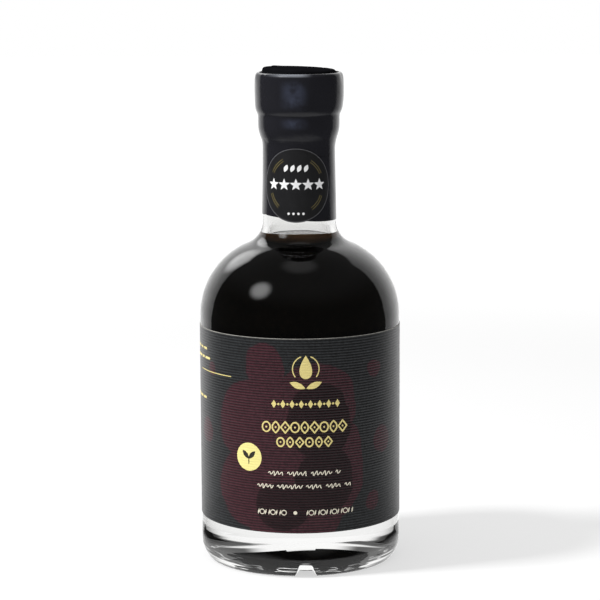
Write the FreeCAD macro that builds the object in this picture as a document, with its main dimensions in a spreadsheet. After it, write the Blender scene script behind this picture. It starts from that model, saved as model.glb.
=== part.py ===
"""Closed bottle of dark balsamic glaze: glass, glaze, stopper, shrink capsule, neck sticker, label.

Millimetres, +Z up, the front faces -Y. The origin is the middle of the foot, on the surface it stands on.
Every piece but the sticker is turned round Z, so most sizes are radii and heights of one outline.
"""
import FreeCAD, Part
import math
import os
import Sketcher

SIZES = {
    # glass body
    "body_radius": 33.4,        # outside of the straight wall
    "wall": 2.65,               # glass of the wall and shoulder
    "heel_radius": 9.0,         # rounding at the foot of the wall
    "heel_sweep": 42.0,         # degrees that it goes round before the toe
    "toe_radius": 1.2,          # tighter rounding from there to the foot ring
    "ring_width": 2.8,          # flat ring that the bottle stands on
    "pushup_rise": 4.8,         # hollow under the foot, at its middle
    "floor_height": 15.4,       # top of the heavy glass foot, inside
    "floor_rounding": 7.0,      # inside corner between floor and wall
    "shoulder_height": 82.4,    # where the straight wall ends
    "shoulder_radius": 25.9,    # rounding of the shoulder
    "flare_radius": 8.2,        # hollow rounding from shoulder to neck
    # neck and lip
    "neck_radius": 11.8,        # outside of the neck, under the lip
    "neck_taper": 0.35,         # how much wider the neck is at its foot
    "neck_length": 25.45,       # from the end of the flare to the lip's underside
    "lip_proud": 1.45,          # how far the lip ring stands out from the neck
    "lip_slope": 4.6,           # height of the lip ring's sloping underside
    "lip_side": 5.6,            # height of the lip ring's straight side
    "lip_rounding": 0.6,        # top edge of the lip
    "bore_radius": 9.3,         # inside of the neck, where the stopper sits
    # notch in the foot ring, at the front
    "notch_wide": 8.0,          # width where it opens on the surface below
    "notch_draft": 1.0,         # how much each side leans in towards the top
    "notch_tall": 2.6,
    "notch_rounding": 0.8,
    "notch_aside": 1.7,         # how far right of the middle it is
    "notch_reach": 1.5,         # how far it runs in past the ring
    # glaze
    "level_drop": 5.3,          # surface of the glaze, below the end of the flare
    # stopper
    "head_proud": 1.0,          # how far the head stands out from the lip
    "head_tall": 14.6,
    "head_taper": 0.35,         # how much narrower the head is at its underside
    "head_rounding": 3.0,       # top edge of the head
    "shank_length": 20.0,
    # shrink capsule, sticker and label
    "film": 0.25,
    "clear_neck": 1.6,          # bare neck between the flare and the film's edge
    "sticker_drop": 1.0,        # how far the sticker hangs below the film's edge
    "sticker_gap": 0.4,         # from the sticker's top to the lip's underside
    "sticker_turn": 5.0,        # degrees round to the left of the middle
    "sticker_thick": 0.12,
    "label_foot": 15.2,         # lower edge of the label
    "label_margin": 2.8,        # from the label's top edge to the start of the shoulder
    "label_thick": 0.15,
    "label_gap": 5.0,           # bare strip between the label's ends, at the back
}

FULL_TURN = 360.0
# How a sketch's constraints name its own axes and origin.
X_AXIS = -1
Y_AXIS = -2
ORIGIN = (-1, 1)


def size(name):
    """The sheet's cell of that name, as it is written in an expression."""
    return f"Sizes.{name}"


# Heights and radii that several pieces share, as expressions on the sheet.
SHOULDER_X = f"({size('body_radius')} - {size('shoulder_radius')})"
FLARE_X = f"({size('neck_radius')} + {size('neck_taper')} + {size('flare_radius')})"
ARC_SUM = f"({size('shoulder_radius')} + {size('flare_radius')})"
ARC_RISE = f"sqrt({ARC_SUM}^2 - ({FLARE_X} - {SHOULDER_X})^2)"
FLARE_END = f"({size('shoulder_height')} + {ARC_RISE})"
NECK_TOP = f"({FLARE_END} + {size('neck_length')})"
LIP_FOOT = f"({NECK_TOP} + {size('lip_slope')})"
LIP_TOP = f"({LIP_FOOT} + {size('lip_side')})"
LIP_RADIUS = f"({size('neck_radius')} + {size('lip_proud')})"
HEAD_RADIUS = f"({LIP_RADIUS} + {size('head_proud')})"
HEAD_TOP = f"({LIP_TOP} + {size('head_tall')})"
HEAD_FOOT_ROUNDING = f"({size('head_proud')} - {size('head_taper')})"
HEEL_COS, HEEL_SIN = (f"{turn}({size('heel_sweep')} * 1 deg)" for turn in ("cos", "sin"))
HEEL_TOP = f"({size('toe_radius')} + ({size('heel_radius')} - {size('toe_radius')}) * {HEEL_SIN})"
RING_OUTER = (f"({size('body_radius')} - {size('heel_radius')}"
              f" + ({size('heel_radius')} - {size('toe_radius')}) * {HEEL_COS})")
RING_INNER = f"({RING_OUTER} - {size('ring_width')})"
CAPSULE_EDGE = f"({FLARE_END} + {size('clear_neck')})"
LABEL_TOP = f"({size('shoulder_height')} - {size('label_margin')})"
LEVEL = f"({FLARE_END} - {size('level_drop')})"
STICKER_LOW = f"({CAPSULE_EDGE} - {size('sticker_drop')})"
STICKER_TOP = f"({NECK_TOP} - {size('sticker_gap')})"


def neck_at(height):
    """Outside radius of the tapering neck at a height."""
    return (f"({size('neck_radius')} + {size('neck_taper')}"
            f" * ({NECK_TOP} - {height}) / {size('neck_length')})")


def blend_point(shrink):
    """Where the shoulder's arc turns into the flare's, on a surface that far inside the glass."""
    share = f"({size('shoulder_radius')} - {shrink}) / {ARC_SUM}"
    return (f"{SHOULDER_X} + ({FLARE_X} - {SHOULDER_X}) * {share}",
            f"{size('shoulder_height')} + {ARC_RISE} * {share}")


def make_sheet(doc):
    sheet = doc.addObject("Spreadsheet::Sheet", "Sizes")
    for row, (name, value) in enumerate(SIZES.items(), start=1):
        sheet.set(f"A{row}", name)
        sheet.set(f"B{row}", str(value))
        sheet.setAlias(f"B{row}", name)
    doc.recompute()
    return sheet


def evaluate(sheet, expression):
    result = sheet.evalExpression(expression)
    return float(getattr(result, "Value", result))


def origin_plane(body, role):
    return next(item for item in body.Origin.OriginFeatures if item.Role == role)


def new_sketch(body, name, role):
    sketch = body.newObject("Sketcher::SketchObject", name)
    sketch.AttachmentSupport = [(origin_plane(body, role), "")]
    sketch.MapMode = "FlatFace"
    return sketch


def arc_between(start, end, radius, turn):
    """The short arc of that radius from start to end: turn is 1 for a left turn and -1 for a right one."""
    chord = end - start
    across = FreeCAD.Vector(-chord.y, chord.x, 0) / chord.Length
    reach = math.sqrt(max(radius ** 2 - chord.Length ** 2 / 4, 0.0))
    centre = (start + end) / 2 + across * reach * turn
    first, last = (start, end) if turn > 0 else (end, start)
    angles = [math.atan2(point.y - centre.y, point.x - centre.x) for point in (first, last)]
    if angles[1] <= angles[0]:
        angles[1] += 2 * math.pi
    return Part.ArcOfCircle(Part.Circle(centre, FreeCAD.Vector(0, 0, 1), radius), *angles)


def bind(sketch, constraint, name, expression):
    index = sketch.addConstraint(constraint)
    sketch.renameConstraint(index, name)
    sketch.setExpression(f"Constraints.{name}", expression)


def draw_loop(sheet, sketch, corners, arcs=None):
    """Close a loop through the corners, each an (across, up) pair of expressions.

    arcs gives, for the edge that leaves a corner, its radius and which way it turns; other edges are straight.
    """
    arcs = arcs or {}
    places = [FreeCAD.Vector(evaluate(sheet, x), evaluate(sheet, y), 0) for x, y in corners]
    ends = []
    for index, start in enumerate(places):
        end = places[(index + 1) % len(places)]
        if index in arcs:
            radius, turn = arcs[index]
            sketch.addGeometry(arc_between(start, end, evaluate(sheet, radius), turn), False)
            ends.append((1, 2) if turn > 0 else (2, 1))
        else:
            sketch.addGeometry(Part.LineSegment(start, end), False)
            ends.append((1, 2))
    for index, (start, texts) in enumerate(zip(places, corners)):
        before = index - 1 if index else len(corners) - 1
        point = (index, ends[index][0])
        sketch.addConstraint(Sketcher.Constraint("Coincident", before, ends[before][1], *point))
        for kind, axis, text, value in (("DistanceX", Y_AXIS, texts[0], start.x),
                                        ("DistanceY", X_AXIS, texts[1], start.y)):
            name = f"{kind}{index}"
            if text == "0":
                sketch.addConstraint(Sketcher.Constraint("PointOnObject", *point, axis))
            elif value > 0:
                bind(sketch, Sketcher.Constraint(kind, *ORIGIN, *point, value), name, text)
            else:
                bind(sketch, Sketcher.Constraint(kind, *point, *ORIGIN, -value), name, f"-({text})")
    for index, (radius, _) in arcs.items():
        bind(sketch, Sketcher.Constraint("Radius", index, evaluate(sheet, radius)), f"Radius{index}", radius)


def turn_feature(body, kind, name, sketch):
    """Revolve a sketch round Z: kind is Revolution or Groove."""
    feature = body.newObject(f"PartDesign::{kind}", name)
    feature.Profile = sketch
    feature.ReferenceAxis = (sketch, ["V_Axis"])
    feature.Angle = FULL_TURN
    sketch.Visibility = False
    return feature


def turned(sheet, body, kind, name, corners, arcs=None):
    sketch = new_sketch(body, f"{name}Outline", "XZ_Plane")
    draw_loop(sheet, sketch, corners, arcs)
    return turn_feature(body, kind, name, sketch)


def cut_through(body, name, sketch, towards_front):
    pocket = body.newObject("PartDesign::Pocket", name)
    pocket.Profile = sketch
    pocket.Type = "ThroughAll"
    pocket.Reversed = towards_front
    sketch.Visibility = False
    return pocket


def new_body(doc, label):
    body = doc.addObject("PartDesign::Body", label.title().replace("_", "") + "Body")
    body.Label = label
    return body


def cavity_corners(top_corners):
    """The inside of the glass from its floor to the flare, then whatever closes it above."""
    inner = f"({size('body_radius')} - {size('wall')})"
    corners = [
        ("0", size("floor_height")),
        (f"{inner} - {size('floor_rounding')}", size("floor_height")),
        (inner, f"{size('floor_height')} + {size('floor_rounding')}"),
        (inner, size("shoulder_height")),
        blend_point(size("wall")),
        *top_corners,
    ]
    arcs = {
        1: (size("floor_rounding"), 1),
        3: (f"{size('shoulder_radius')} - {size('wall')}", 1),
        4: (f"{size('flare_radius')} + {size('wall')}", -1),
    }
    return corners, arcs


def make_bottle(doc, sheet):
    body = new_body(doc, "bottle")
    outer = [
        ("0", "0"),
        (RING_OUTER, "0"),
        (f"{RING_OUTER} + {size('toe_radius')} * {HEEL_COS}", f"{size('toe_radius')} * (1 - {HEEL_SIN})"),
        (size("body_radius"), HEEL_TOP),
        (size("body_radius"), size("shoulder_height")),
        blend_point("0"),
        (f"{size('neck_radius')} + {size('neck_taper')}", FLARE_END),
        (size("neck_radius"), NECK_TOP),
        (LIP_RADIUS, LIP_FOOT),
        (LIP_RADIUS, f"{LIP_TOP} - {size('lip_rounding')}"),
        (f"{LIP_RADIUS} - {size('lip_rounding')}", LIP_TOP),
        ("0", LIP_TOP),
    ]
    rounds = {
        1: (size("toe_radius"), 1),
        2: (size("heel_radius"), 1),
        4: (size("shoulder_radius"), 1),
        5: (size("flare_radius"), -1),
        9: (size("lip_rounding"), 1),
    }
    turned(sheet, body, "Revolution", "Glass", outer, rounds)

    bore_seat = f"{LIP_TOP} - {size('shank_length')}"
    cavity = cavity_corners([
        (f"{size('neck_radius')} + {size('neck_taper')} - {size('wall')}", FLARE_END),
        (size("bore_radius"), bore_seat),
        (size("bore_radius"), LIP_TOP),
        ("0", LIP_TOP),
    ])
    turned(sheet, body, "Groove", "Cavity", *cavity)

    dome_radius = f"({RING_INNER}^2 + {size('pushup_rise')}^2) / (2 * {size('pushup_rise')})"
    dome = [("0", "0"), (RING_INNER, "0"), ("0", size("pushup_rise"))]
    turned(sheet, body, "Groove", "PushUp", dome, {1: (dome_radius, 1)})

    sketch = new_sketch(body, "NotchOutline", "XZ_Plane")
    sketch.setExpression(".AttachmentOffset.Base.z", f"{RING_INNER} - {size('notch_reach')}")
    top, rounding = size("notch_tall"), size("notch_rounding")
    right, left = (f"{size('notch_aside')} {sign} {size('notch_wide')} / 2" for sign in "+-")
    right_top, left_top = f"{right} - {size('notch_draft')}", f"{left} + {size('notch_draft')}"
    notch = [
        (right, "0"),
        (right_top, f"{top} - {rounding}"),
        (f"{right_top} - {rounding}", top),
        (f"{left_top} + {rounding}", top),
        (left_top, f"{top} - {rounding}"),
        (left, "0"),
    ]
    draw_loop(sheet, sketch, notch, {1: (rounding, 1), 3: (rounding, 1)})
    cut_through(body, "Notch", sketch, towards_front=True)
    return body


def make_glaze(doc, sheet):
    """The liquid, face to face with the glass, up to its level in the flare."""
    body = new_body(doc, "glaze")
    at_level = (f"{FLARE_X} - sqrt(({size('flare_radius')} + {size('wall')})^2 - {size('level_drop')}^2)",
                LEVEL)
    turned(sheet, body, "Revolution", "Glaze", *cavity_corners([at_level, ("0", LEVEL)]))
    return body


def closure_corners(grow):
    """Half the outline of head and lip from the top down to the lip's foot, that much further out."""
    foot_radius = f"({HEAD_FOOT_ROUNDING} + {grow})"
    joint = f"{LIP_TOP} + {HEAD_FOOT_ROUNDING} - sqrt({foot_radius}^2 - {grow}^2)"
    corners = [
        ("0", f"{HEAD_TOP} + {grow}"),
        (f"{HEAD_RADIUS} - {size('head_rounding')}", f"{HEAD_TOP} + {grow}"),
        (f"{HEAD_RADIUS} + {grow}", f"{HEAD_TOP} - {size('head_rounding')}"),
        (f"{HEAD_RADIUS} - {size('head_taper')} + {grow}", f"{LIP_TOP} + {HEAD_FOOT_ROUNDING}"),
        (f"{LIP_RADIUS} + {grow}", joint),
    ]
    arcs = {
        1: (f"{size('head_rounding')} + {grow}", -1),
        3: (foot_radius, -1),
    }
    return corners, arcs


def make_stopper(doc, sheet):
    """Round head on the lip, with its shank down the bore."""
    body = new_body(doc, "stopper")
    corners, arcs = closure_corners("0")
    shank_end = f"{LIP_TOP} - {size('shank_length')}"
    corners += [
        (size("bore_radius"), LIP_TOP),
        (size("bore_radius"), shank_end),
        ("0", shank_end),
    ]
    turned(sheet, body, "Revolution", "Stopper", corners, arcs)
    return body


def make_capsule(doc, sheet):
    """Shrink film over head, lip and neck: the outline grown by the film, less the outline itself."""
    body = new_body(doc, "capsule")
    for kind, name, grow in (("Revolution", "Film", size("film")), ("Groove", "Inside", "0")):
        corners, arcs = closure_corners(grow)
        corners += [
            (f"{LIP_RADIUS} + {grow}", LIP_FOOT),
            (f"{size('neck_radius')} + {grow}", NECK_TOP),
            (f"{neck_at(CAPSULE_EDGE)} + {grow}", CAPSULE_EDGE),
            ("0", CAPSULE_EDGE),
        ]
        turned(sheet, body, kind, name, corners, arcs)
    return body


def make_label(doc, sheet):
    """Sheet wrapped round the straight wall, its two ends apart at the back."""
    body = new_body(doc, "label")
    outer = f"{size('body_radius')} + {size('label_thick')}"
    band = [
        (size("body_radius"), size("label_foot")),
        (outer, size("label_foot")),
        (outer, LABEL_TOP),
        (size("body_radius"), LABEL_TOP),
    ]
    turned(sheet, body, "Revolution", "Band", band)
    sketch = new_sketch(body, "SeamOutline", "XZ_Plane")
    half, above = f"{size('label_gap')} / 2", size("shoulder_height")
    draw_loop(sheet, sketch, [(half, "0"), (half, above), (f"-{half}", above), (f"-{half}", "0")])
    cut_through(body, "Seam", sketch, towards_front=False)
    return body


def make_sticker(doc):
    """Round sticker that follows the film: a thin conical shell, cut out by an upright oval prism.

    Wrapped round the neck, the disc looks narrower than tall, so the prism is an oval.
    """
    tall = f"({STICKER_TOP} - {STICKER_LOW})"
    middle = f"({STICKER_LOW} + {tall} / 2)"
    middle_radius = f"({neck_at(middle)} + {size('film')})"
    shells = {}
    for name, grow in (("Outer", f"{size('film')} + {size('sticker_thick')}"), ("Inner", size("film"))):
        cone = doc.addObject("Part::Cone", f"Sticker{name}")
        cone.setExpression("Radius1", f"{neck_at(STICKER_LOW)} + {grow}")
        cone.setExpression("Radius2", f"{neck_at(STICKER_TOP)} + {grow}")
        cone.setExpression("Height", tall)
        cone.setExpression(".Placement.Base.z", STICKER_LOW)
        shells[name] = cone
    shell = doc.addObject("Part::Cut", "StickerShell")
    shell.Base, shell.Tool = shells["Outer"], shells["Inner"]
    oval = doc.addObject("Part::Ellipse", "StickerOval")
    oval.setExpression("MajorRadius", f"{tall} / 2")
    oval.setExpression("MinorRadius", f"{middle_radius} * sin({tall} / 2 / {middle_radius} * 1 rad)")
    # Local X, the long way, points up, and local Z points to the front.
    oval.Placement.Rotation = FreeCAD.Rotation(FreeCAD.Vector(0, 0, 1), FreeCAD.Vector(1, 0, 0),
                                               FreeCAD.Vector(0, -1, 0), "ZYX")
    oval.setExpression(".Placement.Base.z", middle)
    prism = doc.addObject("Part::Extrusion", "StickerPrism")
    prism.Base = oval
    prism.DirMode = "Custom"
    prism.Dir = FreeCAD.Vector(0, -1, 0)
    prism.setExpression("LengthFwd", size("body_radius"))
    prism.Solid = True
    sticker = doc.addObject("Part::Common", "Sticker")
    sticker.Base, sticker.Tool = shell, prism
    sticker.Placement.Rotation = FreeCAD.Rotation(FreeCAD.Vector(0, 0, 1), -1)
    sticker.setExpression(".Placement.Rotation.Angle", f"-{size('sticker_turn')} * 1 deg")
    sticker.Label = "neck_sticker"
    return sticker


def check(doc, parts):
    failed = [item.Label for item in doc.Objects if {"Invalid", "Error"} & set(item.State)]
    failed += [part.Label for part in parts if part.Shape.isNull() or not part.Shape.isValid()
               or len(part.Shape.Solids) != 1]
    if failed:
        raise RuntimeError("these came out wrong: " + ", ".join(failed))
    cuts = [item for item in doc.Objects if item.TypeId in ("PartDesign::Groove", "PartDesign::Pocket")]
    idle = [item.Label for item in cuts if item.Shape.Volume > item.BaseFeature.Shape.Volume - 1e-3]
    if idle:
        raise RuntimeError("these cut nothing: " + ", ".join(idle))


def main():
    doc = FreeCAD.newDocument("balsamic_glaze_bottle")
    sheet = make_sheet(doc)
    parts = [
        make_bottle(doc, sheet),
        make_glaze(doc, sheet),
        make_stopper(doc, sheet),
        make_capsule(doc, sheet),
        make_sticker(doc),
        make_label(doc, sheet),
    ]
    doc.recompute()
    check(doc, parts)
    os.makedirs("parts", exist_ok=True)
    for part in parts:
        part.Shape.exportStep(f"parts/{part.Label}.step")
        box = part.Shape.BoundBox
        print(f"{part.Label}: {part.Shape.Volume / 1000:.2f} ml, z {box.ZMin:.2f} to {box.ZMax:.2f},"
              f" x {box.XMin:.2f} to {box.XMax:.2f}, y {box.YMin:.2f} to {box.YMax:.2f}")


main()
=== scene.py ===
"""Looks of a closed bottle of balsamic glaze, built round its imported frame.

Helpers take millimetres and turn them into metres where a mesh is made. +Z is up and the front faces -Y.
A turn of 0 is the front and grows to the right, so a point is (radius * sin, -radius * cos, height).
On the label and the sticker, "across" is the length of the arc from the front, and "up" is the height.
"""

import math

import bmesh
import bpy
import numpy as np
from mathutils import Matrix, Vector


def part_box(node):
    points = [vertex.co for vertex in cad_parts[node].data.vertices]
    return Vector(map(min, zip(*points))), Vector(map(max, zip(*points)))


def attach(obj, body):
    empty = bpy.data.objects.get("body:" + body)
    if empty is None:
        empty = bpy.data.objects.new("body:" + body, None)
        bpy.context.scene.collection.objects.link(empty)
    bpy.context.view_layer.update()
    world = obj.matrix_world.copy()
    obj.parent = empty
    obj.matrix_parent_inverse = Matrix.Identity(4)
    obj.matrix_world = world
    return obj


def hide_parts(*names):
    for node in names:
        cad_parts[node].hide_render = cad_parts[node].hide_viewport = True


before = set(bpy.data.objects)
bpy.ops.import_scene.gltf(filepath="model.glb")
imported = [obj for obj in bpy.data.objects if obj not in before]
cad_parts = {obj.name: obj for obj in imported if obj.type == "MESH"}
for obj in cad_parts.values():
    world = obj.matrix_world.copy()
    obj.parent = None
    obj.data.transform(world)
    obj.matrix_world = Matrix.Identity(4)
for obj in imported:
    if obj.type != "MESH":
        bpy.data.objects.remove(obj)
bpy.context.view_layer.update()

MM = 0.001
FULL_TURN = 2 * math.pi


# ---------------------------------------------------------------- sizes, in millimetres

def frame_box(node):
    low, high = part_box(node)
    return np.array(low) / MM, np.array(high) / MM


(_, _, _), (BODY_RADIUS, _, LIP_TOP) = frame_box("bottle")
(_, _, FLOOR), (INNER_RADIUS, _, LEVEL) = frame_box("glaze")
(_, _, FILM_EDGE), _ = frame_box("capsule")
(_, _, STICKER_LOW), (_, _, STICKER_TOP) = frame_box("neck_sticker")
(_, _, LABEL_LOW), (LABEL_RADIUS, _, LABEL_TOP) = frame_box("label")

WALL = BODY_RADIUS - INNER_RADIUS
HEEL, TOE = 9.0, 1.2            # the heel's curve is wide, and tight where it meets the foot ring
HEEL_SWEEP = math.radians(42)
RING_WIDTH = 2.8
PUSHUP_RISE = 4.8
FLOOR_ROUNDING = 7.0
SHOULDER_HEIGHT = LABEL_TOP + 2.8
SHOULDER = 25.9
FLARE = 8.2
NECK_RADIUS, NECK_TAPER, NECK_LENGTH = 11.8, 0.35, 25.45
LIP_PROUD, LIP_SLOPE, LIP_ROUNDING = 1.2, 4.6, 0.6
BORE, SHANK = 9.3, 20.0
HEEL_TOP = TOE + (HEEL - TOE) * math.sin(HEEL_SWEEP)
RING_OUTER = BODY_RADIUS - HEEL + (HEEL - TOE) * math.cos(HEEL_SWEEP)
RING_INNER = RING_OUTER - RING_WIDTH
SHOULDER_X = BODY_RADIUS - SHOULDER
NECK_FOOT = NECK_RADIUS + NECK_TAPER
FLARE_X = NECK_FOOT + FLARE
ARC_SUM = SHOULDER + FLARE
ARC_RISE = math.sqrt(ARC_SUM ** 2 - (FLARE_X - SHOULDER_X) ** 2)
FLARE_END = SHOULDER_HEIGHT + ARC_RISE
NECK_TOP = FLARE_END + NECK_LENGTH
LIP_RADIUS = NECK_RADIUS + LIP_PROUD

NOTCH_WIDE, NOTCH_DRAFT, NOTCH_ASIDE = 7.8, 1.7, 1.7
NOTCH_TALL, NOTCH_ROOF = 4.6, 2.1       # its roof falls from the first, at the front, to the second
NOTCH_END = 26.0                # how far from the middle it ends

RIPPLE_AT, RIPPLE_WIDE = 21.6, 1.9      # radius and width of the raised ring under the push-up
HEEL_WAVE = 0.035
FOOT_RIDGE, FOOT_RIDGES = 0.16, 90      # height and number of the ridges under the foot ring

GLAZE_INTO_GLASS = 0.12
CLIMB_FRONT, CLIMB_SIDE, CLIMB_BACK = 1.5, 0.58, 0.16   # how far glaze climbs the glass above its level
STOPPER_TOP = 162.2
FILM = 0.15
FILM_END_UP, FILM_END_WIDE = 162.75, 13.3       # above and within these, film is wrinkled and dull
STICKER_TURN = math.radians(-5.0)
STICKER_THICK = 0.12
LABEL_GAP = 5.0
RIB_PITCH = 0.885
RIB_DEPTH = 0.11
PRINT_LIFT = 0.03
AWARD_LIFT = 0.02


# ---------------------------------------------------------------- outlines and meshes

def trace(corners, arcs, spacing):
    """Points (radius, height) from the first corner to the last.

    arcs gives, for the edge that leaves a corner, its radius and which way it turns; other edges are
    straight. spacing is the distance between points, for all edges or for each.
    """
    points = []
    for index, (start, end) in enumerate(zip(corners[:-1], corners[1:])):
        start, end = np.array(start, float), np.array(end, float)
        chord = end - start
        length = np.linalg.norm(chord)
        step = spacing.get(index, spacing[None]) if isinstance(spacing, dict) else spacing
        share = np.linspace(0, 1, max(1, math.ceil(length / step)) + 1)[:-1, None]
        if index in arcs:
            radius, turn = arcs[index]
            reach = math.sqrt(max(radius ** 2 - length ** 2 / 4, 0.0))
            centre = (start + end) / 2 + np.array([-chord[1], chord[0]]) / length * reach * turn
            first, last = (math.atan2(*(point - centre)[::-1]) for point in (start, end))
            sweep = (last - first) * turn % FULL_TURN * turn
            angle = first + sweep * share
            points.append(centre + radius * np.hstack([np.cos(angle), np.sin(angle)]))
        else:
            points.append(start + chord * share)
    points.append(np.array([corners[-1]], float))
    return np.vstack(points)


def around(radius, turn, height):
    radius, turn, height = np.broadcast_arrays(radius, turn, height)
    return np.stack([radius * np.sin(turn), -radius * np.cos(turn), height], -1)


def full_circle(steps, fine=None):
    """Turns round the whole circle; fine gives a stretch (from, to, steps) that is divided more closely."""
    turns = np.linspace(-math.pi, math.pi, steps, endpoint=False)
    if fine:
        begin, end, count = fine
        turns = np.concatenate([turns[(turns < begin) | (turns > end)], np.linspace(begin, end, count)])
    return np.sort(turns)


def skin(rows, closed_round=True, closed_along=False, first=None, last=None):
    """Points and faces of quads over a grid of points; the single points first and last close its ends."""
    rows = np.asarray(rows, float)
    count, across = rows.shape[:2]
    grid = np.arange(count * across).reshape(count, across)
    if closed_round:
        grid = np.hstack([grid, grid[:, :1]])
    if closed_along:
        grid = np.vstack([grid, grid[:1]])
    quads = np.stack([grid[:-1, :-1], grid[:-1, 1:], grid[1:, 1:], grid[1:, :-1]], -1).reshape(-1, 4)
    faces = quads.tolist()
    points = rows.reshape(-1, 3)
    for tip, edge, order in ((first, grid[0], 1), (last, grid[-1], -1)):
        if tip is not None:
            faces += [[len(points), b, a][::order] for a, b in zip(edge[:-1].tolist(), edge[1:].tolist())]
            points = np.vstack([points, [tip]])
    return points, faces


def joined(parts):
    points, faces, count = [], [], 0
    for part_points, part_faces in parts:
        points.append(part_points)
        faces += [[index + count for index in face] for face in part_faces]
        count += len(part_points)
    return np.vstack(points), faces


def make_piece(name, shape, material, node, sharp=math.radians(50)):
    """A mesh that rides on the bottle and stands for a node of the frame."""
    points, faces = shape
    mesh = bpy.data.meshes.new(name)
    mesh.from_pydata((points * MM).tolist(), [], faces)
    work = bmesh.new()
    work.from_mesh(mesh)
    bmesh.ops.recalc_face_normals(work, faces=work.faces)
    work.to_mesh(mesh)
    work.free()
    mesh.shade_smooth()
    mesh.set_sharp_from_angle(angle=sharp)
    mesh.materials.append(material)
    piece = bpy.data.objects.new(name, mesh)
    bpy.context.scene.collection.objects.link(piece)
    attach(piece, "root")
    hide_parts(node)
    return piece


def smooth_step(value, low, high):
    share = np.clip((value - low) / (high - low), 0, 1)
    return share * share * (3 - 2 * share)


# ---------------------------------------------------------------- shader helpers

def srgb(red, green, blue):
    """A colour as it shows on a screen, 0 to 255, as a shader's linear colour."""
    shares = [value / 255 for value in (red, green, blue)]
    return (*[c / 12.92 if c <= 0.04045 else ((c + 0.055) / 1.055) ** 2.4 for c in shares], 1.0)


def grey(value):
    return (value, value, value, 1.0)


def add(tree, kind, inputs=None, **settings):
    """Add a shader node; inputs are values or sockets, by name or number."""
    node = tree.nodes.new("ShaderNode" + kind)
    for key, value in settings.items():
        setattr(node, key, value)
    for key, value in (inputs or {}).items():
        if isinstance(value, Sum):
            value = value.socket
        if isinstance(value, bpy.types.NodeSocket):
            tree.links.new(value, node.inputs[key])
        else:
            node.inputs[key].default_value = value
    return node


class Sum:
    """A number in a shader: arithmetic on it adds Math nodes."""

    def __init__(self, tree, socket):
        self.tree, self.socket = tree, socket

    def math(self, operation, *others, flip=False):
        terms = [other.socket if isinstance(other, Sum) else other for other in others]
        terms = [*terms, self.socket] if flip else [self.socket, *terms]
        node = add(self.tree, "Math", dict(enumerate(terms)), operation=operation)
        return Sum(self.tree, node.outputs[0])

    def __add__(self, other):
        return self.math("ADD", other)

    def __sub__(self, other):
        return self.math("SUBTRACT", other)

    def __rsub__(self, other):
        return self.math("SUBTRACT", other, flip=True)

    def __mul__(self, other):
        return self.math("MULTIPLY", other)

    def __truediv__(self, other):
        return self.math("DIVIDE", other)

    def __pow__(self, other):
        return self.math("POWER", other)

    def most(self, other):
        return self.math("MAXIMUM", other)

    def least(self, other):
        return self.math("MINIMUM", other)

    def size(self):
        return self.math("ABSOLUTE")

    def __lt__(self, other):
        return self.math("LESS_THAN", other)

    def root(self):
        return self.math("SQRT")

    def sine(self):
        return self.math("SINE")

    def between(self, low, high):
        """0 at low and 1 at high, with a soft ramp."""
        node = add(self.tree, "MapRange", {0: self, 1: low, 2: high}, interpolation_type="SMOOTHSTEP")
        return Sum(self.tree, node.outputs[0])

    def patch(self, rise, full, fade, gone):
        """1 from full to fade and 0 beyond rise and gone, with soft ramps."""
        return self.between(rise, full) * (1.0 - self.between(fade, gone))


def place(tree):
    """Where a point is on the object, in millimetres: x, y and z."""
    source = add(tree, "TexCoord").outputs["Object"]
    axes = add(tree, "SeparateXYZ", {0: source})
    return [Sum(tree, axes.outputs[axis]) * (1 / MM) for axis in range(3)]


def noise(tree, scale, detail=3.0, stretch=(1, 1, 1), roughness=0.5):
    """Noise over the object; scale counts its waves in a metre."""
    source = add(tree, "TexCoord").outputs["Object"]
    mapping = add(tree, "Mapping", {"Vector": source, "Scale": stretch})
    texture = add(tree, "TexNoise", {"Vector": mapping.outputs[0], "Scale": scale, "Detail": detail,
                                     "Roughness": roughness})
    return Sum(tree, texture.outputs[0])


def mixed(tree, factor, first, second):
    node = add(tree, "Mix", {0: factor, 6: first, 7: second}, data_type="RGBA")
    return node.outputs[2]


def bump(tree, height, distance):
    return add(tree, "Bump", {"Height": height, "Distance": distance, "Strength": 1.0}).outputs[0]


def new_material(name):
    material = bpy.data.materials.new(name)
    material.use_nodes = True
    tree = material.node_tree
    return material, tree, tree.nodes["Principled BSDF"]


def set_inputs(tree, shader, **values):
    for key, value in values.items():
        socket = shader.inputs[key.replace("_", " ")]
        if isinstance(value, Sum):
            value = value.socket
        if isinstance(value, bpy.types.NodeSocket):
            tree.links.new(value, socket)
        else:
            socket.default_value = value


# ---------------------------------------------------------------- materials

def glass_material():
    material, tree, shader = new_material("clear_glass")
    tint = mixed(tree, noise(tree, 60.0), srgb(246, 246, 245), srgb(252, 252, 251))
    set_inputs(tree, shader, Base_Color=tint, Roughness=0.0, IOR=1.5, Transmission_Weight=1.0)
    return material


def glaze_material():
    """The glaze where it touches glass: nearly black, brown where it thins out at the top, pale tan at its
    top edge as thin glaze with a painted highlight.
    """
    material, tree, shader = new_material("dark_glaze")
    _, _, height = place(tree)
    cloud = noise(tree, 45.0)
    body = mixed(tree, cloud, srgb(13, 11, 7), srgb(19, 15, 10))
    brown = mixed(tree, noise(tree, 300.0), srgb(138, 98, 62), srgb(170, 126, 86))
    thin = (height + cloud * 0.8).between(LEVEL - 1.8, LEVEL + 2.0)
    # Partly painted highlight: the pale tan line along the top of the climb stands for the thinnest glaze
    # with a highlight on it.
    edge = height.between(LEVEL + 1.1, LEVEL + 1.4)
    colour = mixed(tree, edge, mixed(tree, thin, body, brown), srgb(206, 170, 124))
    set_inputs(tree, shader, Base_Color=colour, Roughness=0.5, Specular_IOR_Level=0.0)
    return material


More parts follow.
